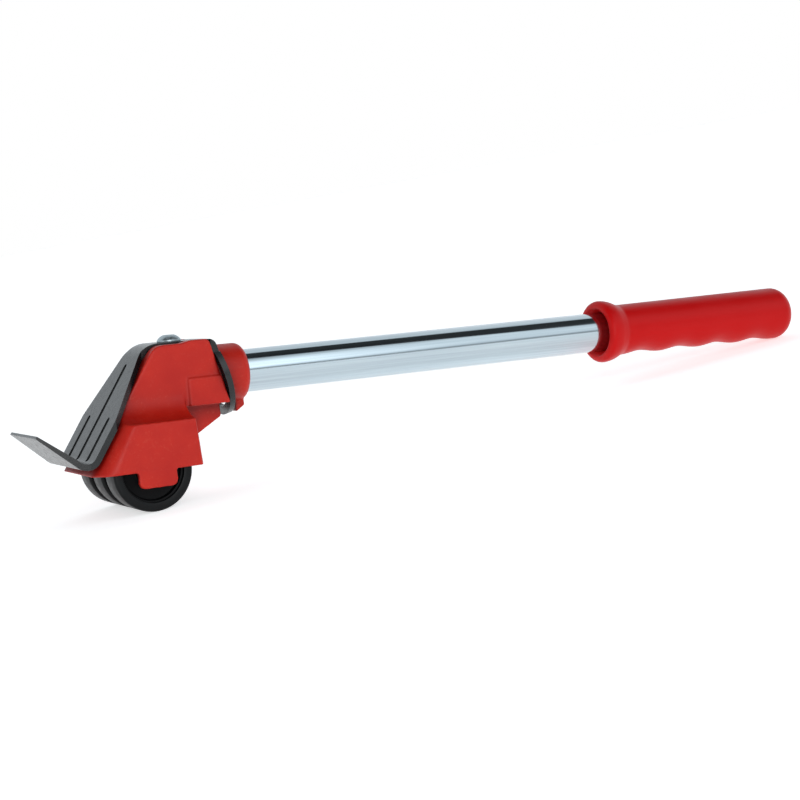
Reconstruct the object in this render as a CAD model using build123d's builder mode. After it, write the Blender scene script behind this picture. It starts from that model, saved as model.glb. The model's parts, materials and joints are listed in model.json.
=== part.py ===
# Furniture lifter: a pressed steel claw bolted over a moulded head that rolls on three wheels, with a plated
# tube handle and a hand grip. It lies as it does when it is put down, wheels and grip end on the floor.
#
# The head and the handle are drawn in the tool's own axes, with the middle of the axle as their zero:
# x runs along the handle towards the grip, y runs along the axle and z is square to both.
# The tool then leans until the wheels and the end of the grip share the floor at z = 0.
from build123d import *
from math import asin, atan2, cos, hypot, radians, sin, sqrt, tan
import os

# Overall sizes, in millimetres
tube_length = 392.0         # from inside the head to inside the grip
tube_rise = 41.5            # tube axis above the axle, square to the handle

# Wheels and axle
wheel_dia = 40.0
wheel_width = 14.0
wheel_gap = 6.3             # between two wheels, with spacer and end play
tyre_depth = 4.4            # rubber, from the tread inwards
tyre_groove = 0.8           # how deep the core sits in the tyre
tyre_bevel = 1.2
core_rim_width = 10.0
core_rim_wall = 1.8
core_web = 5.0
hub_dia = 15.0
axle_dia = 8.0
axle_seat = 2.0             # how deep the axle sits in the closed cheek
axle_bevel = 0.5
spacer_dia = 12.0
thrust_dia = 16.0
thrust_thick = 0.5

# Clearances
running_clearance = 0.08    # radial, wheels and spacers on the axle
seat_clearance = 0.03       # radial, axle in the cheeks
end_play = 0.3              # on each side of a wheel
wheel_room = 1.0            # round the tread, inside the head
tube_clearance = 0.1        # radial, tube in the head and in the grip
bolt_clearance = 0.25       # radial, clamp bolt in its holes
thread_clearance = 0.05     # radial, bolt in its nut
plate_gap = 0.3             # claw to the sloped front of the head, strap to the rails
ring_gap = 0.6              # ring to the rear of the block
face_gap = 0.05             # parts that are clamped face to face

# Head
cheek_wall = 3.05           # at the lower edge
cheek_draft = 1.0           # each cheek leans in by this much up to the ledge
wheel_roof = 2.0            # between the wheel room and the upper edge of the cheeks
shoulder_radius = 13.0      # hollow curve from the cheeks to the block
corner_radius = 11.0        # the two front corners
rear_corner_radius = 2.5
front_wall = 8.6            # from the wheel room to the sloped front, at the lower edge
rear_wall = 4.0             # from the wheel room to the rear, at the lower edge
rear_lean = 4.5             # degrees
block_roof = 4.4            # between the tube's bore and the seat of the strap
block_rear = 39.2           # rear face at the height of that seat
block_floor = 2.6           # between the tube's bore and the underside of the block behind the cheeks
rail_front = 2.1            # height of the two side rails in front of the bolt
rail_rear = 3.2             # and behind it
rail_climb = 5.0            # stretch over which they climb
rail_nose = 8.0
rail_tail = 3.0
collar_wall = 3.7
collar_end = 61.0
collar_round = 4.0
boss_width = 19.4           # axle boss below each cheek
boss_drop = 8.0
boss_root = 1.0             # how far it reaches up into the cheek
boss_round = 3.0
boss_shift = 1.0            # boss centre behind the axle
pad_front = 25.5            # raised pad on each side of the block
pad_thick = 1.0
web_width = 17.0            # web under the neck
web_foot = 9.0              # its lower end on the rear wall
web_slope = 30.0            # degrees
web_end = 44.5
rib_width = 6.0             # short rib under the collar
rib_gap = 4.0               # behind the ring
rib_slope = 28.0            # degrees
rib_depth = 2.3             # its rear end below the collar
socket_start = 12.0         # inner end of the tube
seat_wall = 2.0             # between tube and washer
nut_room_dia = 13.4

# Lift plate, one pressed strip
plate_thick = 3.0
claw_slope = 56.2           # degrees, sloped front
lip_slope = 41.3            # degrees
ring_lean = 14.0            # degrees
lip_length = 32.6           # underside, from the tip to the sharp corner
lip_bevel = 22.0            # stretch over which the lip thins towards its tip
lip_edge = 1.4              # thickness left at the tip
claw_width = 52.0
lip_tip_width = 43.6
strap_width = 20.0
kink_rise = 25.5            # height at which the claw starts to narrow
lower_bend = 7.5            # outer radii of the bends
upper_bend = 14.0
rear_bend = 4.5
ring_width = 4.3            # of the ring's face
ring_room = 1.7             # between the ring and the neck
ring_shift = 0.8            # ring centre below the tube axis
ring_shoulder = 30.0        # width of the rear bend
groove_width = 3.4
groove_depth = 0.8
groove_low = 7.0
groove_high = 51.0          # middle groove
side_groove_high = 27.0
side_groove_offset = 15.0

# Clamp bolt through plate, head and tube
bolt_along = 23.7
bolt_dia = 6.0
bolt_step = 5.0             # between two lengths that such bolts are sold in
head_dia = 12.0
head_height = 3.3
head_rim = 0.8
head_flat = 5.6
key_width = 4.0
key_depth = 2.2
washer_dia = 12.0
washer_thick = 1.6
spring_dia = 11.0
spring_thick = 1.6
spring_split = 1.2
nut_width = 10.0
nut_height = 5.0
sleeve_dia = 9.0

# Handle and grip
tube_dia = 22.0
tube_wall = 1.5
grip_length = 135.5
grip_end_wall = 10.4
flange_height = 3.2
flange_length = 14.5
flange_slope = 4.0          # stretch over which it falls to the hand's part
flange_round = 4.2          # towards the tube
flange_back_round = 2.5     # towards the hand
flange_root = 2.5
grip_wall = 3.2             # at the flange
grip_swell = 0.9            # how much thicker the wall is at the end
grip_end_round = 8.5
countersink = 1.0
finger_count = 4
finger_first = 28.5         # first finger hollow behind the front of the grip
finger_pitch = 27.5
finger_depth = 1.5
finger_radius = 55.0

# Sizes that follow from those above
wheel_radius = wheel_dia / 2
tube_radius = tube_dia / 2
bore_radius = tube_radius + tube_clearance
wheel_pitch = wheel_width + wheel_gap
stack_half = wheel_pitch + wheel_width / 2
cheek_face = stack_half + end_play + thrust_thick + face_gap
half_body = cheek_face + cheek_wall
body_width = 2 * half_body
half_block = half_body - cheek_draft - shoulder_radius
room_radius = wheel_radius + wheel_room
ledge_rise = room_radius + wheel_roof
block_rise = ledge_rise + shoulder_radius
front_foot = -room_radius - front_wall
rear_foot = room_radius + rear_wall
block_top = tube_rise + bore_radius + block_roof
block_under = tube_rise - bore_radius - block_floor
collar_dia = 2 * (bore_radius + collar_wall)
rib_low = tube_rise - collar_dia / 2 - rib_depth
ring_hole_dia = collar_dia + 2 * ring_room
ring_dia = ring_hole_dia + 2 * ring_width
grip_front_dia = 2 * (bore_radius + grip_wall)
grip_end_dia = grip_front_dia + 2 * grip_swell
flange_dia = grip_front_dia + 2 * flange_height
tube_start = socket_start + face_gap
tube_end = tube_start + tube_length
grip_bottom = tube_end + face_gap
grip_end = grip_bottom + grip_end_wall
grip_start = grip_end - grip_length
seat_rise = tube_rise - bore_radius - seat_wall
hole_radius = bolt_dia / 2 + bolt_clearance

claw_angle = radians(claw_slope)
lip_angle = radians(lip_slope)
ring_angle = radians(ring_lean)
strap_rise = block_top + face_gap
claw_foot = front_foot - plate_gap / sin(claw_angle)
claw_front = claw_foot - plate_thick / sin(claw_angle)
knee = claw_foot + strap_rise / tan(claw_angle)
kink = claw_foot + kink_rise / tan(claw_angle)
tip = Vector(claw_foot - lip_length * cos(lip_angle), lip_length * sin(lip_angle))
strap_end = block_rear + ring_gap / cos(ring_angle)
ring_fall = strap_rise - tube_rise + ring_shift
ring_foot = strap_end + ring_fall * tan(ring_angle)

# The tool leans until the tread and the rounded end of the grip touch one floor.
round_along = grip_end - grip_end_round
round_low = tube_rise - grip_end_dia / 2 + grip_end_round
round_high = tube_rise + grip_end_dia / 2 - grip_end_round
floor_drop = wheel_radius - grip_end_round
lean = asin(floor_drop / hypot(round_along, round_low)) + atan2(round_low, round_along)

# The zero on the floor lies halfway between the lip's tip and the end of the grip.
front_reach = tip.X * cos(lean) + tip.Y * sin(lean)
rear_reach = round_along * cos(lean) + round_high * sin(lean) + grip_end_round
axle_place = Vector(-(front_reach + rear_reach) / 2, 0, wheel_radius)
along = Vector(cos(lean), 0, -sin(lean))
across = Vector(0, 1, 0)
upward = Vector(sin(lean), 0, cos(lean))


def at(x, y, z):
    # a point given in the tool's own axes
    return axle_place + along * x + across * y + upward * z


def side(y=0.0):
    # plane along the handle, facing the near side; its y runs upward
    return Plane(origin=at(0, y, 0), x_dir=along, z_dir=-across)


def section(x):
    # plane square to the handle, facing the grip; its x runs across, its y upward
    return Plane(origin=at(x, 0, 0), x_dir=across, z_dir=along)


def level(z):
    # plane parallel to the handle, facing up; its x runs along, its y across
    return Plane(origin=at(0, 0, z), x_dir=along, z_dir=upward)


def front_at(z):
    # sloped front of the head at one height
    return front_foot + z / tan(claw_angle)


def block_rear_at(z):
    # leaning rear face of the block at one height
    return block_rear + (block_top - z) * tan(ring_angle)


handle_axis = Axis(at(0, 0, tube_rise), along)
axle_axis = Axis(at(0, 0, 0), across)
bolt_axis = Axis(at(bolt_along, 0, 0), upward)

os.makedirs("parts", exist_ok=True)

# Lift plate: lip, sloped claw, strap over the head and ring round the neck
with BuildPart() as lift_plate:
    with BuildSketch(side()):
        with BuildLine():
            FilletPolyline(
                tip,
                (claw_foot, 0),
                (knee, strap_rise),
                (strap_end, strap_rise),
                (ring_foot, strap_rise - ring_fall),
                radius=[lower_bend, upper_bend - plate_thick, rear_bend - plate_thick],
            )
            offset(amount=plate_thick, side=Side.LEFT)
        make_face()
    extrude(amount=claw_width / 2, both=True)
    # outline of the strip, seen square to the handle
    with BuildSketch(level(-body_width)):
        with BuildLine():
            Polyline(
                (tip.X - plate_thick, 0),
                (tip.X - plate_thick, lip_tip_width / 2),
                (claw_foot, claw_width / 2),
                (kink - plate_thick, claw_width / 2),
                (knee - plate_thick, strap_width / 2),
                (strap_end, strap_width / 2),
                (strap_end, ring_shoulder / 2),
                (ring_foot + ring_dia, ring_shoulder / 2),
                (ring_foot + ring_dia, 0),
            )
            mirror(about=Plane.XZ)
        make_face()
    extrude(amount=3 * body_width, mode=Mode.INTERSECT)
    # ring, whose upper part ends in the rear bend
    ring_plane = Plane(
        origin=at(ring_foot, 0, strap_rise - ring_fall),
        x_dir=across,
        z_dir=along * cos(ring_angle) + upward * sin(ring_angle),
    )
    with BuildSketch(ring_plane):
        Circle(ring_dia / 2)
        with Locations((0, ring_fall / cos(ring_angle) - rear_bend + ring_dia / 2)):
            Rectangle(ring_dia, ring_dia, mode=Mode.SUBTRACT)
    extrude(amount=plate_thick)
    with BuildSketch(ring_plane.offset(-plate_thick)):
        Circle(ring_hole_dia / 2)
    extrude(amount=3 * plate_thick, mode=Mode.SUBTRACT)
    # the lip thins towards its tip on the upper side
    with BuildSketch(side()):
        with BuildLine():
            inward = Vector(cos(lip_angle), -sin(lip_angle))
            outward = Vector(sin(lip_angle), cos(lip_angle))
            bevel_end = tip + inward * lip_bevel
            Polyline(
                tip + outward * lip_edge,
                tip + outward * 2 * plate_thick,
                bevel_end + outward * 2 * plate_thick,
                bevel_end + outward * plate_thick,
                close=True,
            )
        make_face()
    extrude(amount=claw_width, both=True, mode=Mode.SUBTRACT)
    # three pressed grooves in the sloped front
    claw_plane = Plane(
        origin=at(claw_front, 0, 0),
        x_dir=along * cos(claw_angle) + upward * sin(claw_angle),
        z_dir=upward * cos(claw_angle) - along * sin(claw_angle),
    )
    for groove_offset, groove_top in (
        (0, groove_high),
        (side_groove_offset, side_groove_high),
        (-side_groove_offset, side_groove_high),
    ):
        groove_length = (groove_top - groove_low) / sin(claw_angle)
        groove_middle = (groove_top + groove_low) / 2 / sin(claw_angle)
        with BuildSketch(claw_plane.offset(-groove_depth)):
            with Locations((groove_middle, groove_offset)):
                SlotOverall(groove_length, groove_width)
        extrude(amount=plate_thick, mode=Mode.SUBTRACT)
    with BuildSketch(level(block_top)):
        with Locations((bolt_along, 0)):
            Circle(hole_radius)
    extrude(amount=2 * plate_thick, mode=Mode.SUBTRACT)

# Head: one moulding with the wheel room, the block above it and the neck
with BuildPart() as housing:
    for height in (0, block_rise):
        front = front_at(height)
        rear = rear_foot - height * tan(radians(rear_lean))
        with BuildSketch(level(height)):
            with Locations(((front + rear) / 2, 0)):
                Rectangle(rear - front, body_width)
            fillet(vertices().group_by(Axis.X)[0], corner_radius)
            fillet(vertices().group_by(Axis.X)[-1], rear_corner_radius)
    loft(ruled=True)
    # hollow shoulders from the cheeks up to the block
    with BuildSketch(section(front_foot - body_width)):
        with BuildLine():
            Polyline((0, 0), (half_body, 0), (half_body - cheek_draft, ledge_rise))
            CenterArc((half_body - cheek_draft, block_rise), shoulder_radius, 180, 90)
            Line((half_block, block_rise), (0, block_rise))
            mirror(about=Plane.YZ)
        make_face()
    extrude(amount=4 * body_width, mode=Mode.INTERSECT)
    # block that carries the strap and the tube
    with BuildSketch(side()):
        with BuildLine():
            Polyline(
                (front_at(ledge_rise), ledge_rise),
                (front_at(block_top), block_top),
                (block_rear, block_top),
                (block_rear_at(block_under), block_under),
                (socket_start, block_under),
                (socket_start, ledge_rise),
                close=True,
            )
        make_face()
        nose = vertices().sort_by_distance((front_at(block_top), block_top))[0]
        fillet(nose, upper_bend - plate_thick)
        tail = vertices().sort_by_distance((block_rear, block_top))[0]
        fillet(tail, rear_bend - plate_thick + ring_gap)
    extrude(amount=half_block, both=True)
    # rails on both sides of the strap
    rail_inner = strap_width / 2 + plate_gap
    for rail_face in (-rail_inner, half_block):
        with BuildSketch(side(rail_face)):
            with BuildLine():
                Polyline(
                    (front_at(block_rise), block_rise),
                    (front_at(block_top + rail_front), block_top + rail_front),
                    (bolt_along, block_top + rail_front),
                    (bolt_along + rail_climb, block_top + rail_rear),
                    (block_rear_at(block_top + rail_rear), block_top + rail_rear),
                    (block_rear_at(block_rise), block_rise),
                    close=True,
                )
            make_face()
            nose = vertices().sort_by_distance((front_at(block_top + rail_front), block_top + rail_front))[0]
            fillet(nose, rail_nose)
            tail = vertices().sort_by_distance((block_rear, block_top + rail_rear))[0]
            fillet(tail, rail_tail)
        extrude(amount=half_block - rail_inner)
    # raised pads beside the tube
    with BuildSketch(side()):
        with BuildLine():
            Polyline(
                (pad_front, block_under),
                (pad_front, tube_rise),
                (block_rear_at(tube_rise), tube_rise),
                (block_rear_at(block_under), block_under),
                close=True,
            )
        make_face()
    extrude(amount=half_block + pad_thick, both=True)
    # neck and collar
    with BuildSketch(section(bolt_along)):
        with Locations((0, tube_rise)):
            Circle(collar_dia / 2)
    extrude(amount=collar_end - bolt_along)
    fillet(edges().filter_by(GeomType.CIRCLE).sort_by(handle_axis)[-1], collar_round)
    # web under the neck, in front of the ring, and short rib behind it
    web_start = rear_foot - web_foot * tan(radians(rear_lean))
    web_low = web_foot + (web_end - web_start) * tan(radians(web_slope))
    web_root = web_start - rear_corner_radius
    with BuildSketch(side()):
        with BuildLine():
            Polyline(
                (web_root, web_foot - rear_corner_radius * tan(radians(web_slope))),
                (web_end, web_low),
                (web_end, block_under + 1),
                (web_root, block_under + 1),
                close=True,
            )
        make_face()
    extrude(amount=web_width / 2, both=True)
    rib_start = strap_end + (strap_rise - rib_low) * tan(ring_angle) + plate_thick / cos(ring_angle)
    rib_start = rib_start + rib_gap
    rib_end = collar_end - face_gap
    with BuildSketch(side()):
        with BuildLine():
            Polyline(
                (rib_start, tube_rise - tube_radius),
                (rib_start, rib_low - (rib_end - rib_start) * tan(radians(rib_slope))),
                (rib_end - collar_round / 4, rib_low),
                (rib_end - collar_round / 4, tube_rise - tube_radius),
                close=True,
            )
        make_face()
    extrude(amount=rib_width / 2, both=True)
    # axle bosses below the cheeks
    for boss_face in (-cheek_face, half_body):
        with BuildSketch(side(boss_face)):
            with Locations((boss_shift, (boss_root - boss_drop) / 2)):
                Rectangle(boss_width, boss_drop + boss_root)
            fillet(vertices().group_by(Axis.Y)[0], boss_round)
        extrude(amount=half_body - cheek_face)
    # wheel room, open below
    with BuildSketch(side()):
        Circle(room_radius)
        with Locations((0, -body_width / 2)):
            Rectangle(2 * room_radius, body_width)
    extrude(amount=cheek_face, both=True, mode=Mode.SUBTRACT)
    # axle hole, closed on the near side
    with BuildSketch(side(half_body)):
        Circle(axle_dia / 2 + seat_clearance)
    extrude(amount=half_body + cheek_face + axle_seat, mode=Mode.SUBTRACT)
    # tube socket, bolt hole and nut room
    with BuildSketch(section(socket_start)):
        with Locations((0, tube_rise)):
            Circle(bore_radius)
    extrude(amount=collar_end, mode=Mode.SUBTRACT)
    with BuildSketch(level(seat_rise)):
        with Locations((bolt_along, 0)):
            Circle(hole_radius)
    extrude(amount=block_top, mode=Mode.SUBTRACT)
    with BuildSketch(level(seat_rise)):
        with Locations((bolt_along, 0)):
            Circle(nut_room_dia / 2)
    extrude(amount=-2 * seat_rise, mode=Mode.SUBTRACT)

# Clamp bolt with a low domed head, and what it is clamped with
head_seat = strap_rise + plate_thick + face_gap
washer_top = seat_rise - face_gap
spring_top = washer_top - washer_thick - face_gap
nut_top = spring_top - spring_thick - face_gap
bolt_length = bolt_step * round((head_seat - nut_top + nut_height) / bolt_step)
with BuildPart() as clamp_bolt:
    with BuildSketch(side()):
        with BuildLine():
            Polyline(
                (bolt_along, head_seat + head_height),
                (bolt_along, head_seat - bolt_length),
                (bolt_along + bolt_dia / 2, head_seat - bolt_length),
                (bolt_along + bolt_dia / 2, head_seat),
                (bolt_along + head_dia / 2, head_seat),
                (bolt_along + head_dia / 2, head_seat + head_rim),
            )
            RadiusArc(
                (bolt_along + head_dia / 2, head_seat + head_rim),
                (bolt_along + head_flat / 2, head_seat + head_height),
                -head_dia / 2,
            )
            Line(
                (bolt_along + head_flat / 2, head_seat + head_height),
                (bolt_along, head_seat + head_height),
            )
        make_face()
    revolve(axis=bolt_axis)
    with BuildSketch(level(head_seat + head_height)):
        with Locations((bolt_along, 0)):
            RegularPolygon(key_width / 2, 6, major_radius=False)
    extrude(amount=-key_depth, mode=Mode.SUBTRACT)

with BuildPart() as clamp_washer:
    with BuildSketch(level(washer_top)):
        with Locations((bolt_along, 0)):
            Circle(washer_dia / 2)
            Circle(hole_radius, mode=Mode.SUBTRACT)
    extrude(amount=-washer_thick)

with BuildPart() as spring_washer:
    with BuildSketch(level(spring_top)):
        with Locations((bolt_along, 0)):
            Circle(spring_dia / 2)
            Circle(hole_radius, mode=Mode.SUBTRACT)
        with Locations((bolt_along + spring_dia / 2, 0)):
            Rectangle(spring_dia, spring_split, rotation=15, mode=Mode.SUBTRACT)
    extrude(amount=-spring_thick)

with BuildPart() as clamp_nut:
    with BuildSketch(level(nut_top)):
        with Locations((bolt_along, 0)):
            RegularPolygon(nut_width / 2, 6, major_radius=False)
            Circle(bolt_dia / 2 + thread_clearance, mode=Mode.SUBTRACT)
    extrude(amount=-nut_height)

# Handle tube with the cross hole for the bolt, and the sleeve that keeps it round there
inner_radius = tube_radius - tube_wall
with BuildPart() as handle_tube:
    with BuildSketch(section(tube_start)):
        with Locations((0, tube_rise)):
            Circle(tube_radius)
            Circle(inner_radius, mode=Mode.SUBTRACT)
    extrude(amount=tube_length)
    with BuildSketch(level(tube_rise - tube_dia)):
        with Locations((bolt_along, 0)):
            Circle(hole_radius)
    extrude(amount=2 * tube_dia, mode=Mode.SUBTRACT)

sleeve_half = sqrt(inner_radius**2 - (sleeve_dia / 2) ** 2) - face_gap
with BuildPart() as bolt_sleeve:
    with BuildSketch(level(tube_rise - sleeve_half)):
        with Locations((bolt_along, 0)):
            Circle(sleeve_dia / 2)
            Circle(hole_radius, mode=Mode.SUBTRACT)
    extrude(amount=2 * sleeve_half)

# Hand grip: flange, body that thickens towards its closed end, finger hollows underneath
flange_end = grip_start + flange_length
with BuildPart() as grip:
    with BuildSketch(side()):
        with BuildLine():
            Polyline(
                (grip_start, tube_rise + bore_radius + countersink),
                (grip_start, tube_rise + flange_dia / 2),
                (flange_end - flange_slope, tube_rise + flange_dia / 2),
                (flange_end, tube_rise + grip_front_dia / 2),
                (grip_end, tube_rise + grip_end_dia / 2),
                (grip_end, tube_rise),
                (grip_bottom, tube_rise),
                (grip_bottom, tube_rise + bore_radius),
                (grip_start + countersink, tube_rise + bore_radius),
                close=True,
            )
        make_face()
        for corner_at, corner_round in (
            ((grip_start, tube_rise + flange_dia / 2), flange_round),
            ((flange_end - flange_slope, tube_rise + flange_dia / 2), flange_back_round),
            ((flange_end, tube_rise + grip_front_dia / 2), flange_root),
            ((grip_end, tube_rise + grip_end_dia / 2), grip_end_round),
        ):
            fillet(vertices().sort_by_distance(corner_at)[0], corner_round)
    revolve(axis=handle_axis)
    for finger in range(finger_count):
        finger_along = grip_start + finger_first + finger * finger_pitch
        widening = (finger_along - flange_end) / (grip_end - flange_end)
        grip_radius = (grip_front_dia + widening * (grip_end_dia - grip_front_dia)) / 2
        with BuildSketch(side()):
            with Locations((finger_along, tube_rise - grip_radius + finger_depth - finger_radius)):
                Circle(finger_radius)
        extrude(amount=flange_dia, both=True, mode=Mode.SUBTRACT)

# Axle, pressed in from the far side
axle_near = cheek_face + axle_seat - face_gap
with BuildPart() as axle:
    with BuildSketch(side(half_body - axle_bevel)):
        Circle(axle_dia / 2)
    extrude(amount=half_body - axle_bevel + axle_near)
    chamfer(edges(), axle_bevel)

# Three wheels, each a core with a rubber tyre
run_radius = axle_dia / 2 + running_clearance
tyre_inner = wheel_radius - tyre_depth
rim_outer = tyre_inner + tyre_groove
rim_inner = rim_outer - core_rim_wall
wheels = []
for place, wheel_y in (("near", -wheel_pitch), ("middle", 0.0), ("far", wheel_pitch)):
    with BuildPart() as core:
        with BuildSketch(section(0)):
            with BuildLine():
                Polyline(
                    (wheel_y, run_radius),
                    (wheel_y + wheel_width / 2, run_radius),
                    (wheel_y + wheel_width / 2, hub_dia / 2),
                    (wheel_y + core_web / 2, hub_dia / 2),
                    (wheel_y + core_web / 2, rim_inner),
                    (wheel_y + core_rim_width / 2, rim_inner),
                    (wheel_y + core_rim_width / 2, rim_outer),
                    (wheel_y, rim_outer),
                )
                mirror(about=Plane.YZ.offset(wheel_y))
            make_face()
        revolve(axis=axle_axis)
    with BuildPart() as tyre:
        with BuildSketch(section(0)):
            with Locations((wheel_y, (wheel_radius + tyre_inner) / 2)):
                Rectangle(wheel_width, tyre_depth)
            chamfer(vertices().group_by(Axis.Y)[-1], tyre_bevel)
            with Locations((wheel_y, tyre_inner)):
                Rectangle(core_rim_width, 2 * tyre_groove, mode=Mode.SUBTRACT)
        revolve(axis=axle_axis)
    core.part.label = "wheel_core_" + place
    tyre.part.label = "tyre_" + place
    wheels.append(core.part)
    wheels.append(tyre.part)

# Spacers between the wheels and thrust washers beside the outer ones
rings = []
spacer_length = wheel_gap - 2 * end_play
for label, ring_face, ring_length, outer_dia in (
    ("spacer_near", -wheel_pitch / 2 + spacer_length / 2, spacer_length, spacer_dia),
    ("spacer_far", wheel_pitch / 2 + spacer_length / 2, spacer_length, spacer_dia),
    ("thrust_washer_near", -stack_half - end_play, thrust_thick, thrust_dia),
    ("thrust_washer_far", stack_half + end_play + thrust_thick, thrust_thick, thrust_dia),
):
    with BuildPart() as ring:
        with BuildSketch(side(ring_face)):
            Circle(outer_dia / 2)
            Circle(run_radius, mode=Mode.SUBTRACT)
        extrude(amount=ring_length)
    ring.part.label = label
    rings.append(ring.part)

lift_plate.part.label = "lift_plate"
housing.part.label = "housing"
clamp_bolt.part.label = "clamp_bolt"
clamp_washer.part.label = "clamp_washer"
spring_washer.part.label = "spring_washer"
clamp_nut.part.label = "clamp_nut"
handle_tube.part.label = "handle_tube"
bolt_sleeve.part.label = "bolt_sleeve"
grip.part.label = "grip"
axle.part.label = "axle"
export_step(lift_plate.part, "parts/lift_plate.step")
export_step(housing.part, "parts/housing.step")
export_step(clamp_bolt.part, "parts/clamp_bolt.step")
export_step(clamp_washer.part, "parts/clamp_washer.step")
export_step(spring_washer.part, "parts/spring_washer.step")
export_step(clamp_nut.part, "parts/clamp_nut.step")
export_step(handle_tube.part, "parts/handle_tube.step")
export_step(bolt_sleeve.part, "parts/bolt_sleeve.step")
export_step(grip.part, "parts/grip.step")
export_step(axle.part, "parts/axle.step")
for piece in wheels + rings:
    export_step(piece, "parts/" + piece.label + ".step")
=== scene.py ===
import json
from math import atan2, cos, hypot, pi, radians

import bmesh
import bpy
from mathutils import Matrix, Vector


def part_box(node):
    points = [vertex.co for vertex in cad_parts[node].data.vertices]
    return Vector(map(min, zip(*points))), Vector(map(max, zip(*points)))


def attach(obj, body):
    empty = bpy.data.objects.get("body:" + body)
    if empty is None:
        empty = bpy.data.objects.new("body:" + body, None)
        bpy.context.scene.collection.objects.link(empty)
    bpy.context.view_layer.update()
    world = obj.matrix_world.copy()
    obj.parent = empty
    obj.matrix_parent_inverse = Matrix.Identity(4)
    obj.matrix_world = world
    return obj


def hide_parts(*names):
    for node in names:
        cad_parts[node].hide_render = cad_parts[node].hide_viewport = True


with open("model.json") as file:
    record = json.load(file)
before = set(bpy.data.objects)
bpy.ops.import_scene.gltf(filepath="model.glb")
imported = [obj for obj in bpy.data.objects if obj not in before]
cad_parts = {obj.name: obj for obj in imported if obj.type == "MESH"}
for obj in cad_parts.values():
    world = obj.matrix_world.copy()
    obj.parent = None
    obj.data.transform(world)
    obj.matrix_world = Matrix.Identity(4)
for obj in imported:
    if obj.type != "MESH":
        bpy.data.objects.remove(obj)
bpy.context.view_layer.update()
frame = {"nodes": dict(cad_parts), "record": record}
nodes = frame["nodes"]
print("frame loaded,", len(nodes), "nodes")


def boxCentre(node):
    low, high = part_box(node)
    return (Vector(low) + Vector(high)) / 2


# the tool's own axes: millimetres from the middle of the axle, x along the handle, z square to it
along = (boxCentre("handle_tube") - boxCentre("bolt_sleeve")).normalized()  # both lie on the tube's axis
across = Vector((0, 1, 0))
upward = along.cross(across)
turned = Matrix((along, across, upward)).transposed().to_4x4()
toolAxes = Matrix.Translation(boxCentre("wheel_core_middle")) @ turned @ Matrix.Scale(0.001, 4)


def toolBox(node):
    # lowest and highest corner of a CAD node, in the tool's own axes
    spots = [toolAxes.inverted() @ vertex.co for vertex in nodes[node].data.vertices]
    low = Vector([min(spot[i] for spot in spots) for i in range(3)])
    high = Vector([max(spot[i] for spot in spots) for i in range(3)])
    return low, high


def linearColour(code):
    # sRGB hex to linear
    parts = [int(code[i:i + 2], 16) / 255 for i in (1, 3, 5)]
    parts = [p / 12.92 if p <= 0.04045 else ((p + 0.055) / 1.055) ** 2.4 for p in parts]
    return (*parts, 1)


def addNode(tree, kind, settings=None, links=None):
    node = tree.nodes.new(kind)
    for name, value in (settings or {}).items():
        if name in node.inputs:
            node.inputs[name].default_value = value
        else:
            setattr(node, name, value)
    for name, source in (links or {}).items():
        tree.links.new(source, node.inputs[name])
    return node


def perMm(size):
    # noise scale that gives spots of that many millimetres
    return 1000 / size


def newMaterial(name):
    material = bpy.data.materials.new(name)
    material.use_nodes = True
    tree = material.node_tree
    tree.nodes.clear()
    shader = addNode(tree, "ShaderNodeBsdfPrincipled")
    addNode(tree, "ShaderNodeOutputMaterial", links={"Surface": shader.outputs["BSDF"]})
    place = addNode(tree, "ShaderNodeTexCoord").outputs["Object"]
    return material, tree, shader, place


def noiseAt(tree, place, size, detail=2.0, stretch=(1, 1, 1)):
    mapped = addNode(tree, "ShaderNodeMapping", {"Scale": stretch}, {"Vector": place}).outputs["Vector"]
    settings = {"Scale": perMm(size), "Detail": detail, "Roughness": 0.55}
    return addNode(tree, "ShaderNodeTexNoise", settings, {"Vector": mapped}).outputs["Fac"]


def spread(tree, source, low, high, fromLow=0.3, fromHigh=0.7):
    settings = {"From Min": fromLow, "From Max": fromHigh, "To Min": low, "To Max": high}
    return addNode(tree, "ShaderNodeMapRange", settings, {"Value": source}).outputs["Result"]


def mixColours(tree, factor, first, second):
    # inputs 6 and 7 are the two colours of a colour mix
    mix = addNode(tree, "ShaderNodeMix", {"data_type": "RGBA"}, {"Factor": factor})
    for index, colour in ((6, first), (7, second)):
        if isinstance(colour, str):
            mix.inputs[index].default_value = linearColour(colour)
        else:
            tree.links.new(colour, mix.inputs[index])
    return mix.outputs[2]


def addBump(tree, shader, height, strength, distance):
    settings = {"Strength": strength, "Distance": distance / 1000}
    bump = addNode(tree, "ShaderNodeBump", settings, {"Height": height})
    tree.links.new(bump.outputs["Normal"], shader.inputs["Normal"])


def multiply(tree, first, second):
    node = addNode(tree, "ShaderNodeMath", {"operation": "MULTIPLY"})
    tree.links.new(first, node.inputs[0])
    tree.links.new(second, node.inputs[1])
    return node.outputs["Value"]


def edgeWear(tree, place, width, reach):
    # 1 along the edges where noise lets it, 0 on the flats
    bentFrom, bentTo = 0.86, 0.99  # cosine between the rounded and the flat normal
    patchFrom, patchTo = 0.48, 0.62
    rounded = addNode(tree, "ShaderNodeBevel", {"samples": 4, "Radius": width / 1000}).outputs["Normal"]
    flat = addNode(tree, "ShaderNodeNewGeometry").outputs["Normal"]
    dot = addNode(tree, "ShaderNodeVectorMath", {"operation": "DOT_PRODUCT"})
    tree.links.new(rounded, dot.inputs[0])
    tree.links.new(flat, dot.inputs[1])
    edge = spread(tree, dot.outputs["Value"], 1, 0, bentFrom, bentTo)
    patches = spread(tree, noiseAt(tree, place, reach, 4), 0, 1, patchFrom, patchTo)
    return multiply(tree, edge, patches)


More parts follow.
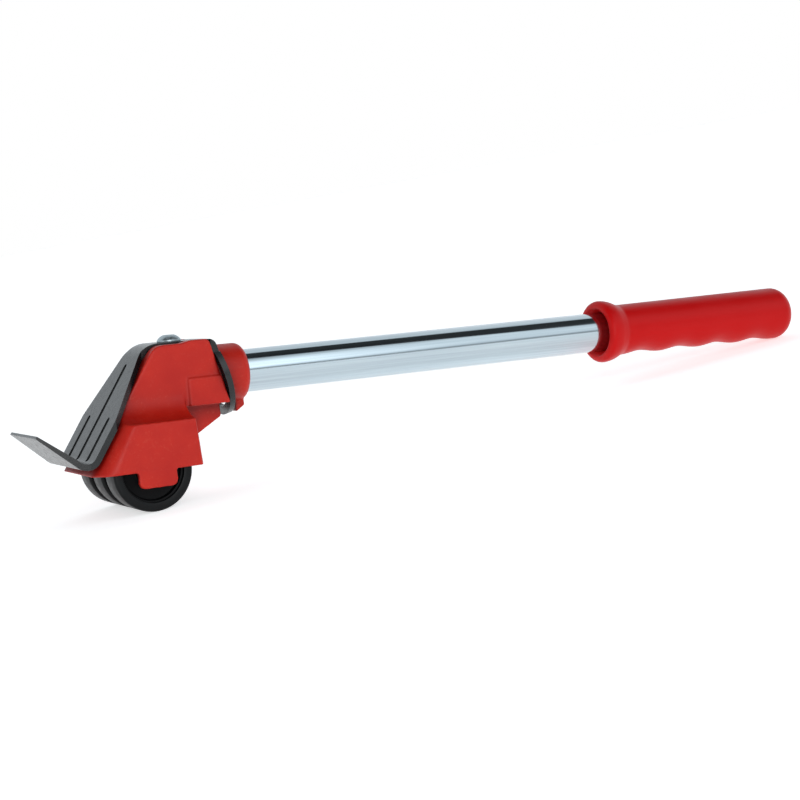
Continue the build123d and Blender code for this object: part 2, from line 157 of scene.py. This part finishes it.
def setConstants(shader, look):
    for socket, name in (("IOR", "ior"), ("Specular IOR Level", "sheen"), ("Metallic", "metal")):
        if name in look:
            shader.inputs[socket].default_value = look[name]


def mouldedAbs():
    # injection-moulded ABS: even red, faint flow marks, painted shade darkening the hollows and a fine
    # spark-eroded grain, which is about 0.1 mm on the real thing and drawn coarser so that it shows; sizes in
    # mm
    look = {"red": "#B11C0C", "deep": "#A61408", "scuff": "#C25C48", "paintedShade": "#780B06",
            "flow": 14, "speck": 1.3, "speckShare": 0.22, "speckRange": (0.56, 0.75), "hollow": 12,
            "hollowRange": (0.55, 0.98), "edge": 0.7, "edgePatch": 5, "edgeShare": 0.25, "glossPatch": 3.5,
            "rough": (0.36, 0.5), "grain": 0.9, "bump": (0.35, 0.06), "ior": 1.53, "sheen": 0.22}
    material, tree, shader, place = newMaterial("redMouldedAbs")
    flow = spread(tree, noiseAt(tree, place, look["flow"], 3), 0, 1)
    body = mixColours(tree, flow, look["deep"], look["red"])
    # painted shade: ambient occlusion mixes the red towards a darker red in hollows, creases and corners
    hollow = addNode(tree, "ShaderNodeAmbientOcclusion", {"samples": 8, "Distance": look["hollow"] / 1000})
    paintedShadeMask = spread(tree, hollow.outputs["AO"], 1, 0, *look["hollowRange"])
    body = mixColours(tree, paintedShadeMask, body, look["paintedShade"])
    speck = spread(tree, noiseAt(tree, place, look["speck"], 3), 0, 1, *look["speckRange"])
    speck = multiply(tree, speck, flow)
    body = mixColours(tree, spread(tree, speck, 0, look["speckShare"], 0, 1), body, look["scuff"])
    worn = edgeWear(tree, place, look["edge"], look["edgePatch"])
    body = mixColours(tree, spread(tree, worn, 0, look["edgeShare"], 0, 1), body, look["scuff"])
    tree.links.new(body, shader.inputs["Base Color"])
    tree.links.new(spread(tree, noiseAt(tree, place, look["glossPatch"], 2), *look["rough"]),
                   shader.inputs["Roughness"])
    setConstants(shader, look)
    addBump(tree, shader, noiseAt(tree, place, look["grain"], 2), *look["bump"])
    return material


def gripPlastic():
    # soft PVC: smooth and half glossy, a slight orange peel, duller where the hand rubs
    look = {"red": "#B60809", "rubbed": "#B80C0D", "rub": 22, "rough": (0.3, 0.42),
            "peel": 2.4, "bump": (0.18, 0.05), "ior": 1.52, "sheen": 0.12}
    material, tree, shader, place = newMaterial("redSoftPvc")
    rub = spread(tree, noiseAt(tree, place, look["rub"], 3), 0, 1)
    tree.links.new(mixColours(tree, rub, look["red"], look["rubbed"]), shader.inputs["Base Color"])
    tree.links.new(spread(tree, rub, *look["rough"], 0, 1), shader.inputs["Roughness"])
    setConstants(shader, look)
    addBump(tree, shader, noiseAt(tree, place, look["peel"], 2), *look["bump"])
    return material


def blackenedSteel():
    # pressed steel with a thin black coating: cloudy on the flats, paler specks where the edges wore
    look = {"black": "#0E1011", "cloudy": "#15181A", "worn": "#6E7274", "cloud": 9,
            "edge": 0.3, "edgePatch": 2.5, "edgeShare": 0.35, "glossPatch": 2.2, "rough": (0.2, 0.32),
            "grain": 0.6, "bump": (0.2, 0.03), "ior": 1.45}
    material, tree, shader, place = newMaterial("blackCoatedSteel")
    cloud = spread(tree, noiseAt(tree, place, look["cloud"], 3), 0, 1)
    body = mixColours(tree, cloud, look["black"], look["cloudy"])
    worn = spread(tree, edgeWear(tree, place, look["edge"], look["edgePatch"]), 0, look["edgeShare"], 0, 1)
    tree.links.new(mixColours(tree, worn, body, look["worn"]), shader.inputs["Base Color"])
    tree.links.new(spread(tree, noiseAt(tree, place, look["glossPatch"], 3), *look["rough"]),
                   shader.inputs["Roughness"])
    setConstants(shader, look)
    addBump(tree, shader, noiseAt(tree, place, look["grain"], 2), *look["bump"])
    return material


def chromePlate(lean):
    # bright nickel-chrome over drawn tube: mirror-like, slightly blue, faint draw lines along its length
    look = {"tint": "#C1CED4", "line": "#B3C0C8", "draw": 0.9, "stretch": (0.012, 1, 1), "smudge": 16,
            "rough": (0.06, 0.12), "bump": (0.04, 0.02), "metal": 1}
    material, tree, shader, place = newMaterial("chromePlatedTube")
    turn = {"Rotation": (0, -lean, 0)}
    turned = addNode(tree, "ShaderNodeMapping", turn, {"Vector": place}).outputs["Vector"]
    lines = noiseAt(tree, turned, look["draw"], 3, look["stretch"])
    tree.links.new(mixColours(tree, spread(tree, lines, 0, 1), look["tint"], look["line"]),
                   shader.inputs["Base Color"])
    tree.links.new(spread(tree, noiseAt(tree, place, look["smudge"], 3), *look["rough"]),
                   shader.inputs["Roughness"])
    setConstants(shader, look)
    addBump(tree, shader, lines, *look["bump"])
    return material


def zincPlate():
    # zinc-plated steel: dull silver with a bluish cast and a fine crystalline mottle
    look = {"bright": "#B9C4C8", "dull": "#8D9BA1", "spangle": 1.1, "rough": (0.3, 0.44),
            "bump": (0.12, 0.03), "metal": 1}
    material, tree, shader, place = newMaterial("zincPlatedSteel")
    mottle = spread(tree, noiseAt(tree, place, look["spangle"], 3), 0, 1)
    tree.links.new(mixColours(tree, mottle, look["dull"], look["bright"]), shader.inputs["Base Color"])
    tree.links.new(spread(tree, mottle, *look["rough"], 0, 1), shader.inputs["Roughness"])
    setConstants(shader, look)
    addBump(tree, shader, mottle, *look["bump"])
    return material


def tyreRubber():
    # moulded black rubber: dark, half matt, with a little dust in patches
    look = {"black": "#08090A", "dust": "#101213", "dustPatch": 5, "dustShare": 0.7, "glossPatch": 3,
            "rough": (0.34, 0.46), "grain": 0.8, "bump": (0.25, 0.05), "ior": 1.52, "sheen": 0.14}
    material, tree, shader, place = newMaterial("blackTyreRubber")
    dust = spread(tree, noiseAt(tree, place, look["dustPatch"], 4), 0, look["dustShare"])
    tree.links.new(mixColours(tree, dust, look["black"], look["dust"]), shader.inputs["Base Color"])
    tree.links.new(spread(tree, noiseAt(tree, place, look["glossPatch"], 2), *look["rough"]),
                   shader.inputs["Roughness"])
    setConstants(shader, look)
    addBump(tree, shader, noiseAt(tree, place, look["grain"], 2), *look["bump"])
    return material


def tonedPlastic(name, look):
    # moulded plastic in two close tones, with the gloss following the tone
    material, tree, shader, place = newMaterial(name)
    tone = spread(tree, noiseAt(tree, place, look["patch"], look["detail"]), 0, 1)
    tree.links.new(mixColours(tree, tone, look["first"], look["second"]), shader.inputs["Base Color"])
    tree.links.new(spread(tree, tone, *look["rough"], 0, 1), shader.inputs["Roughness"])
    setConstants(shader, look)
    height = noiseAt(tree, place, look["grain"], 2) if "grain" in look else tone
    addBump(tree, shader, height, *look["bump"])
    return material


def wheelNylon():
    # black moulded nylon of the wheel cores
    return tonedPlastic("blackMouldedNylon", {
        "first": "#050506", "second": "#08090A", "patch": 4, "detail": 3, "rough": (0.38, 0.5),
        "grain": 0.9, "bump": (0.2, 0.04), "ior": 1.53, "sheen": 0.08})


def naturalPlastic():
    # uncoloured moulded plastic of the sleeve inside the tube
    return tonedPlastic("naturalNylon", {
        "first": "#D8D5CA", "second": "#E4E1D8", "patch": 4, "detail": 2, "rough": (0.4, 0.5),
        "bump": (0.1, 0.03)})


finishes = {
    "head_plastic": mouldedAbs(),
    "grip_plastic": gripPlastic(),
    "blackened_steel": blackenedSteel(),
    "plated_tube": chromePlate(lean=atan2(-along.z, along.x)),
    "zinc_steel": zincPlate(),
    "wheel_rubber": tyreRubber(),
    "wheel_plastic": wheelNylon(),
    "sleeve_plastic": naturalPlastic(),
}
slotOf = {part["node"]: part["material_slot"] for part in frame["record"]["subparts"]}
bodies = frame["record"]["behaviour"]["bodies"]
bodyOf = {node: body for body, members in bodies.items() for node in members}
for name, node in nodes.items():
    node.data.materials.clear()
    node.data.materials.append(finishes[slotOf[name]])
print("materials made:", len(finishes))


def turnOutline(corners, steps=96, closed=False):
    # corners are (along the x axis, radius)
    shape = bmesh.new()
    points = [shape.verts.new((x, 0, r)) for x, r in corners]
    pairs = list(zip(points, points[1:] + points[:1]))
    for pair in pairs if closed else pairs[:-1]:
        shape.edges.new(pair)
    bmesh.ops.spin(shape, geom=shape.verts[:] + shape.edges[:], cent=(0, 0, 0), axis=(1, 0, 0),
                   dvec=(0, 0, 0), angle=2 * pi, steps=steps, use_merge=True, use_duplicate=False)
    bmesh.ops.remove_doubles(shape, verts=shape.verts, dist=0.001)
    bmesh.ops.dissolve_degenerate(shape, edges=shape.edges, dist=0.0005)
    bmesh.ops.recalc_face_normals(shape, faces=shape.faces)
    return shape


def roundRing(shape, x, radius, width, segments):
    # rounds the ring of edges at one place of a turned shape
    def near(vertex):
        return abs(vertex.co.x - x) < 0.01 and abs(hypot(vertex.co.y, vertex.co.z) - radius) < 0.01

    ring = [edge for edge in shape.edges if near(edge.verts[0]) and near(edge.verts[1])]
    bmesh.ops.bevel(shape, geom=ring, offset=width, offset_type="OFFSET", segments=segments, profile=0.5,
                    affect="EDGES", material=-1, clamp_overlap=True)


def placePiece(name, shape, node, sharpFrom=35, evenOut=False):
    mesh = bpy.data.meshes.new(name)
    shape.to_mesh(mesh)
    shape.free()
    mesh.polygons.foreach_set("use_smooth", [True] * len(mesh.polygons))
    mesh.set_sharp_from_angle(angle=radians(sharpFrom))
    mesh.materials.append(finishes[slotOf[node]])
    piece = bpy.data.objects.new(name, mesh)
    bpy.context.collection.objects.link(piece)
    if evenOut:
        weights = piece.modifiers.new("evenNormals", "WEIGHTED_NORMAL")
        weights.keep_sharp = True
    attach(piece, bodyOf[node])
    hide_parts(node)
    return piece


def joinedShape(node):
    # a CAD node's mesh with the corners that its faces share joined up
    shape = bmesh.new()
    shape.from_mesh(nodes[node].data)
    bmesh.ops.remove_doubles(shape, verts=shape.verts, dist=1e-6)
    return shape


def softCopy(name, node, plan):
    # a copy of a CAD node with its edges rounded off; the overlap clamp keeps that under 0.1 mm on both nodes
    shape = joinedShape(node)
    bmesh.ops.dissolve_limit(shape, angle_limit=radians(plan["flatWithin"]), use_dissolve_boundaries=False,
                             verts=shape.verts, edges=shape.edges)
    sharp = [e for e in shape.edges if len(e.link_faces) == 2
             and e.calc_face_angle() > radians(plan["fromAngle"])]
    bmesh.ops.bevel(shape, geom=sharp, offset=plan["round"] / 1000, offset_type="OFFSET",
                    segments=plan["segments"], profile=0.5, affect="EDGES", material=-1, clamp_overlap=True)
    return placePiece(name, shape, node, evenOut=True)


def drilled(shape, cutter):
    # the shape with the cutter's space taken out of it
    holders = []
    for source in (shape, cutter):
        mesh = bpy.data.meshes.new("drilling")
        source.to_mesh(mesh)
        source.free()
        holders.append(bpy.data.objects.new("drilling", mesh))
        bpy.context.collection.objects.link(holders[-1])
    cut = holders[0].modifiers.new("hole", "BOOLEAN")
    cut.operation = "DIFFERENCE"
    cut.solver = "EXACT"
    cut.object = holders[1]
    result = bmesh.new()
    result.from_object(holders[0], bpy.context.evaluated_depsgraph_get())
    bmesh.ops.remove_doubles(result, verts=result.verts, dist=0.002)
    bmesh.ops.dissolve_degenerate(result, edges=result.edges, dist=0.001)
    for holder in holders:
        mesh = holder.data
        bpy.data.objects.remove(holder)
        bpy.data.meshes.remove(mesh)
    return result


def mouldedCopy(name, node, plan):
    # a copy of a CAD node drawn on an even grid and smoothed, so that every edge is soft as on a moulding
    piece = placePiece(name, joinedShape(node), node, sharpFrom=180)
    grid = piece.modifiers.new("evenGrid", "REMESH")
    grid.mode = "VOXEL"
    grid.voxel_size = plan["grid"] / 1000
    grid.use_smooth_shade = True
    soft = piece.modifiers.new("softEdges", "SMOOTH")
    soft.factor = plan["pull"]
    soft.iterations = plan["passes"]
    return piece


head = {"grid": 0.6, "passes": 4, "pull": 0.5}  # grid in mm
plate = {"round": 0.4, "segments": 3, "fromAngle": 32, "flatWithin": 0.6}  # mm and degrees
bolt = {"round": 0.25, "segments": 2, "fromAngle": 32, "flatWithin": 0.6}
mouldedCopy("headMoulding", "housing", head)
softCopy("liftPlate", "lift_plate", plate)
softCopy("clampBolt", "clamp_bolt", bolt)
print("head, plate and bolt made")

tube = {"wall": 1.5, "edge": 0.35, "hole": 3.25, "besideHole": 6, "turn": 1.7}  # turn keeps corners apart
low, high = toolBox("handle_tube")
tubeRadius = (high.y - low.y) / 2
tubeRise = (high.z + low.z) / 2
onTube = Matrix.Translation((0, 0, tubeRise))
boltLow, boltHigh = toolBox("clamp_bolt")
boltAt = (boltLow.x + boltHigh.x) / 2
places = [low.x, boltAt - tube["besideHole"], boltAt + tube["besideHole"], high.x]
outside = [(x, tubeRadius) for x in places]
inside = [(x, tubeRadius - tube["wall"]) for x in places[::-1]]
shape = turnOutline(outside + inside, steps=128, closed=True)
for end in (low.x, high.x):
    roundRing(shape, end, tubeRadius, tube["edge"], 2)
cutter = bmesh.new()
acrossTube = Matrix.Translation((boltAt, 0, 0)) @ Matrix.Rotation(radians(tube["turn"]), 4, "Z")
bmesh.ops.create_cone(cutter, cap_ends=True, segments=48, radius1=tube["hole"], radius2=tube["hole"],
                      depth=4 * tubeRadius, matrix=acrossTube)
shape = drilled(shape, cutter)
bmesh.ops.transform(shape, matrix=toolAxes @ onTube, verts=shape.verts)
placePiece("handleTube", shape, "handle_tube")
print("handle tube made")

grip = {
    "bore": 11.1, "endWall": 10.4, "flangeLength": 14.0, "flangeSlope": 7.5, "dish": 13.8,
    "dishDepth": 3.2, "dishEdge": 0.35, "bead": 3.2, "beadBack": 2.8, "root": 1.2, "frontRadius": 14.3,
    "endRadius": 15.2, "endRound": 8.5, "firstHollow": 28.5, "pitch": 27.5, "hollows": 4, "depth": 1.5,
    "fade": 1.5, "slices": 110, "longEdge": 50, "skin": 1,
}
low, high = toolBox("grip")
flangeRadius = (high.y - low.y) / 2
flangeEnd = low.x + grip["flangeLength"]
slopeAt = flangeEnd - grip["flangeSlope"]
shape = turnOutline([
    (high.x - grip["endWall"], 0),
    (high.x - grip["endWall"], grip["bore"]),
    (low.x + grip["dishDepth"], grip["bore"]),
    (low.x, grip["dish"]),
    (low.x, flangeRadius),
    (slopeAt, flangeRadius),
    (flangeEnd, grip["frontRadius"]),
    (high.x, grip["endRadius"]),
    (high.x, 0),
], steps=128)
roundRing(shape, high.x, grip["endRadius"], grip["endRound"], 10)
roundRing(shape, low.x, flangeRadius, grip["bead"], 8)
roundRing(shape, low.x, grip["dish"], grip["dishEdge"], 2)
roundRing(shape, slopeAt, flangeRadius, grip["beadBack"], 5)
roundRing(shape, flangeEnd, grip["frontRadius"], grip["root"], 4)
outsideFrom = grip["bore"] + grip["skin"]
longEdges = [e for e in shape.edges if abs(e.verts[0].co.x - e.verts[1].co.x) > grip["longEdge"]
             and hypot(e.verts[0].co.y, e.verts[0].co.z) > outsideFrom]
bmesh.ops.subdivide_edges(shape, edges=longEdges, cuts=grip["slices"], use_grid_fill=True)
waveStart = low.x + grip["firstHollow"] - grip["pitch"] / 2
waveEnd = waveStart + grip["hollows"] * grip["pitch"]
for vertex in shape.verts:
    x, radius = vertex.co.x, hypot(vertex.co.y, vertex.co.z)
    if waveStart < x < waveEnd and radius > outsideFrom and vertex.co.z < 0:
        wave = (1 - cos(2 * pi * (x - waveStart) / grip["pitch"])) / 2
        under = (-vertex.co.z / radius) ** grip["fade"]
        sink = grip["depth"] * wave * under / radius
        vertex.co.y *= 1 - sink
        vertex.co.z *= 1 - sink
bmesh.ops.transform(shape, matrix=toolAxes @ onTube, verts=shape.verts)
placePiece("handGrip", shape, "grip")
print("grip made")

wheel = {"tyreDepth": 4.4, "groove": 0.8, "rimWidth": 10.0, "shoulder": 1.3, "rimWall": 1.8, "web": 5.0,
         "hub": 7.5, "bore": 4.08, "soft": 0.4}
toAxle = Matrix.Rotation(pi / 2, 4, "Z")  # the turned shape's x axis becomes the axle
for place in ("near", "middle", "far"):
    low, high = toolBox("tyre_" + place)
    middle = (low.y + high.y) / 2
    onAxle = toolAxes @ Matrix.Translation((0, middle, 0)) @ toAxle
    half = (high.y - low.y) / 2
    outer = (high.z - low.z) / 2
    inner = outer - wheel["tyreDepth"]
    rim = wheel["rimWidth"] / 2
    shape = turnOutline([(-half, inner), (-half, outer), (half, outer), (half, inner), (rim, inner),
                         (rim, inner + wheel["groove"]), (-rim, inner + wheel["groove"]), (-rim, inner)],
                        steps=96, closed=True)
    for face in (-half, half):
        roundRing(shape, face, outer, wheel["shoulder"], 3)
        roundRing(shape, face, inner, wheel["soft"], 2)
    bmesh.ops.transform(shape, matrix=onAxle, verts=shape.verts)
    placePiece("tyre" + place.capitalize(), shape, "tyre_" + place)
    rimOuter = inner + wheel["groove"]
    rimInner = rimOuter - wheel["rimWall"]
    web = wheel["web"] / 2
    profile = [(half, wheel["bore"]), (half, wheel["hub"]), (web, wheel["hub"]), (web, rimInner),
               (rim, rimInner), (rim, rimOuter)]
    mirrored = [(-x, radius) for x, radius in profile]
    shape = turnOutline(mirrored + profile[::-1], steps=96, closed=True)
    for side in (-1, 1):
        roundRing(shape, side * half, wheel["hub"], wheel["soft"], 2)
        roundRing(shape, side * web, wheel["hub"], wheel["soft"] * 2, 3)
        roundRing(shape, side * web, rimInner, wheel["soft"] * 2, 3)
        roundRing(shape, side * rim, rimInner, wheel["soft"], 2)
    bmesh.ops.transform(shape, matrix=onAxle, verts=shape.verts)
    placePiece("wheelCore" + place.capitalize(), shape, "wheel_core_" + place)
print("wheels made")

# pale floor, lit from below like a light table so that shadows stay faint
studio = {"floorSize": 60.0, "floorColour": "#F2F2F2", "floorGlow": 0.55, "besideBox": 0.5, "inGap": 0.05}
floorMaterial, tree, shader, place = newMaterial("paleStudioFloor")
shader.inputs["Base Color"].default_value = linearColour(studio["floorColour"])
shader.inputs["Roughness"].default_value = 1
shader.inputs["Specular IOR Level"].default_value = 0
shader.inputs["Emission Color"].default_value = linearColour("#FFFFFF")
shader.inputs["Emission Strength"].default_value = studio["floorGlow"]
shape = bmesh.new()
bmesh.ops.create_grid(shape, x_segments=1, y_segments=1, size=studio["floorSize"] / 2)
mesh = bpy.data.meshes.new("studioFloor")
shape.to_mesh(mesh)
shape.free()
mesh.materials.append(floorMaterial)
floor = bpy.data.objects.new("studioFloor", mesh)
bpy.context.collection.objects.link(floor)

# surroundings by direction: a pale wall behind, a dark gap overhead, and a broad soft box in front that fades
# to both sides. Each row is a direction's part at the ramp's start and end, then the strength at each.
surroundings = {
    "wall": ("Z", 0.05, 0.7, 1.08, 0.95),
    "boxLeft": ("X", -0.12, 0.12, 0.15, 1),
    "boxRight": ("X", 0.42, 0.7, 2.0, 1.2),
    "boxBottom": ("Z", 0.04, 0.22, 0, 1),
    "boxTop": ("Z", 0.84, 0.5, 0, 1),
    "inFront": ("Y", 0.05, -0.32, 0, 1),
    "gapBack": ("Y", 0.3, 0.16, 0, 1),
    "gapFront": ("Y", -0.42, -0.3, 0, 1),
    "gapBottom": ("Z", 0.35, 0.62, 0, 1),
}
world = bpy.data.worlds.new("studioWorld")
world.use_nodes = True
tree = world.node_tree
tree.nodes.clear()
direction = addNode(tree, "ShaderNodeTexCoord").outputs["Generated"]
split = addNode(tree, "ShaderNodeSeparateXYZ", links={"Vector": direction})


def ramped(source, fromLow, fromHigh, low, high):
    settings = {"From Min": fromLow, "From Max": fromHigh, "To Min": low, "To Max": high,
                "interpolation_type": "SMOOTHSTEP"}
    return addNode(tree, "ShaderNodeMapRange", settings, {"Value": source}).outputs["Result"]


def region(name):
    axis, *limits = surroundings[name]
    return ramped(split.outputs[axis], *limits)


def mixValues(factor, first, second):
    links = {"Factor": factor, "B": second}
    settings = {"data_type": "FLOAT"}
    if isinstance(first, float):
        settings["A"] = first
    else:
        links["A"] = first
    return addNode(tree, "ShaderNodeMix", settings, links).outputs["Result"]


softBox = multiply(tree, region("boxLeft"), region("boxRight"))
boxHere = multiply(tree, region("boxBottom"), region("boxTop"))
front = mixValues(boxHere, studio["besideBox"], softBox)
blend = mixValues(region("inFront"), region("wall"), front)
gap = multiply(tree, multiply(tree, region("gapBack"), region("gapFront")), region("gapBottom"))
strength = multiply(tree, blend, ramped(gap, 0, 1, 1, studio["inGap"]))
seen = addNode(tree, "ShaderNodeLightPath").outputs["Is Camera Ray"]
shown = mixColours(tree, seen, "#EEF5FA", "#FFFFFF")
level = addNode(tree, "ShaderNodeMix", {"data_type": "FLOAT", "B": 1.0},
                {"Factor": seen, "A": strength}).outputs["Result"]
background = addNode(tree, "ShaderNodeBackground", links={"Color": shown, "Strength": level})
addNode(tree, "ShaderNodeOutputWorld", links={"Surface": background.outputs["Background"]})
bpy.context.scene.world = world

lights = {  # place in metres, aimed at the middle of the object, size in metres, power in watts
    "frontBox": {"place": (-0.6, -1.7, 0.35), "size": 0.9, "power": 12},
    "sideBox": {"place": (-1.5, -0.3, 0.6), "size": 0.9, "power": 3},
}
aim = Vector((0, 0, 0.05))
for name, plan in lights.items():
    lamp = bpy.data.lights.new(name, "AREA")
    lamp.shape = "SQUARE"
    lamp.size = plan["size"]
    lamp.energy = plan["power"]
    holder = bpy.data.objects.new(name, lamp)
    holder.location = plan["place"]
    holder.rotation_euler = (aim - Vector(plan["place"])).to_track_quat("-Z", "Y").to_euler()
    bpy.context.collection.objects.link(holder)

# camera, set by its place and turn in the tool's own axes
view = {"lens": 76.5, "place": (-269.5, -803.1, 86.9), "yaw": 27.61, "pitch": 4.42, "roll": 4.73}
turnYaw = Matrix.Rotation(-radians(view["yaw"]), 3, "Z")
turnPitch = Matrix.Rotation(-radians(view["pitch"]), 3, "X")
turnRoll = Matrix.Rotation(radians(view["roll"]), 3, "Y")
aimed = turnYaw @ turnPitch @ turnRoll @ Matrix.Rotation(pi / 2, 3, "X")
camera = bpy.data.cameras.new("viewCamera")
camera.lens = view["lens"]
camera.sensor_width = 36
camera.clip_start = 0.05
holder = bpy.data.objects.new("viewCamera", camera)
holder.matrix_world = (Matrix.Translation(toolAxes @ Vector(view["place"]))
                       @ (turned.to_3x3() @ aimed).to_4x4())
bpy.context.collection.objects.link(holder)
bpy.context.scene.camera = holder
bpy.context.scene.view_settings.view_transform = "Standard"
print("studio and camera placed")
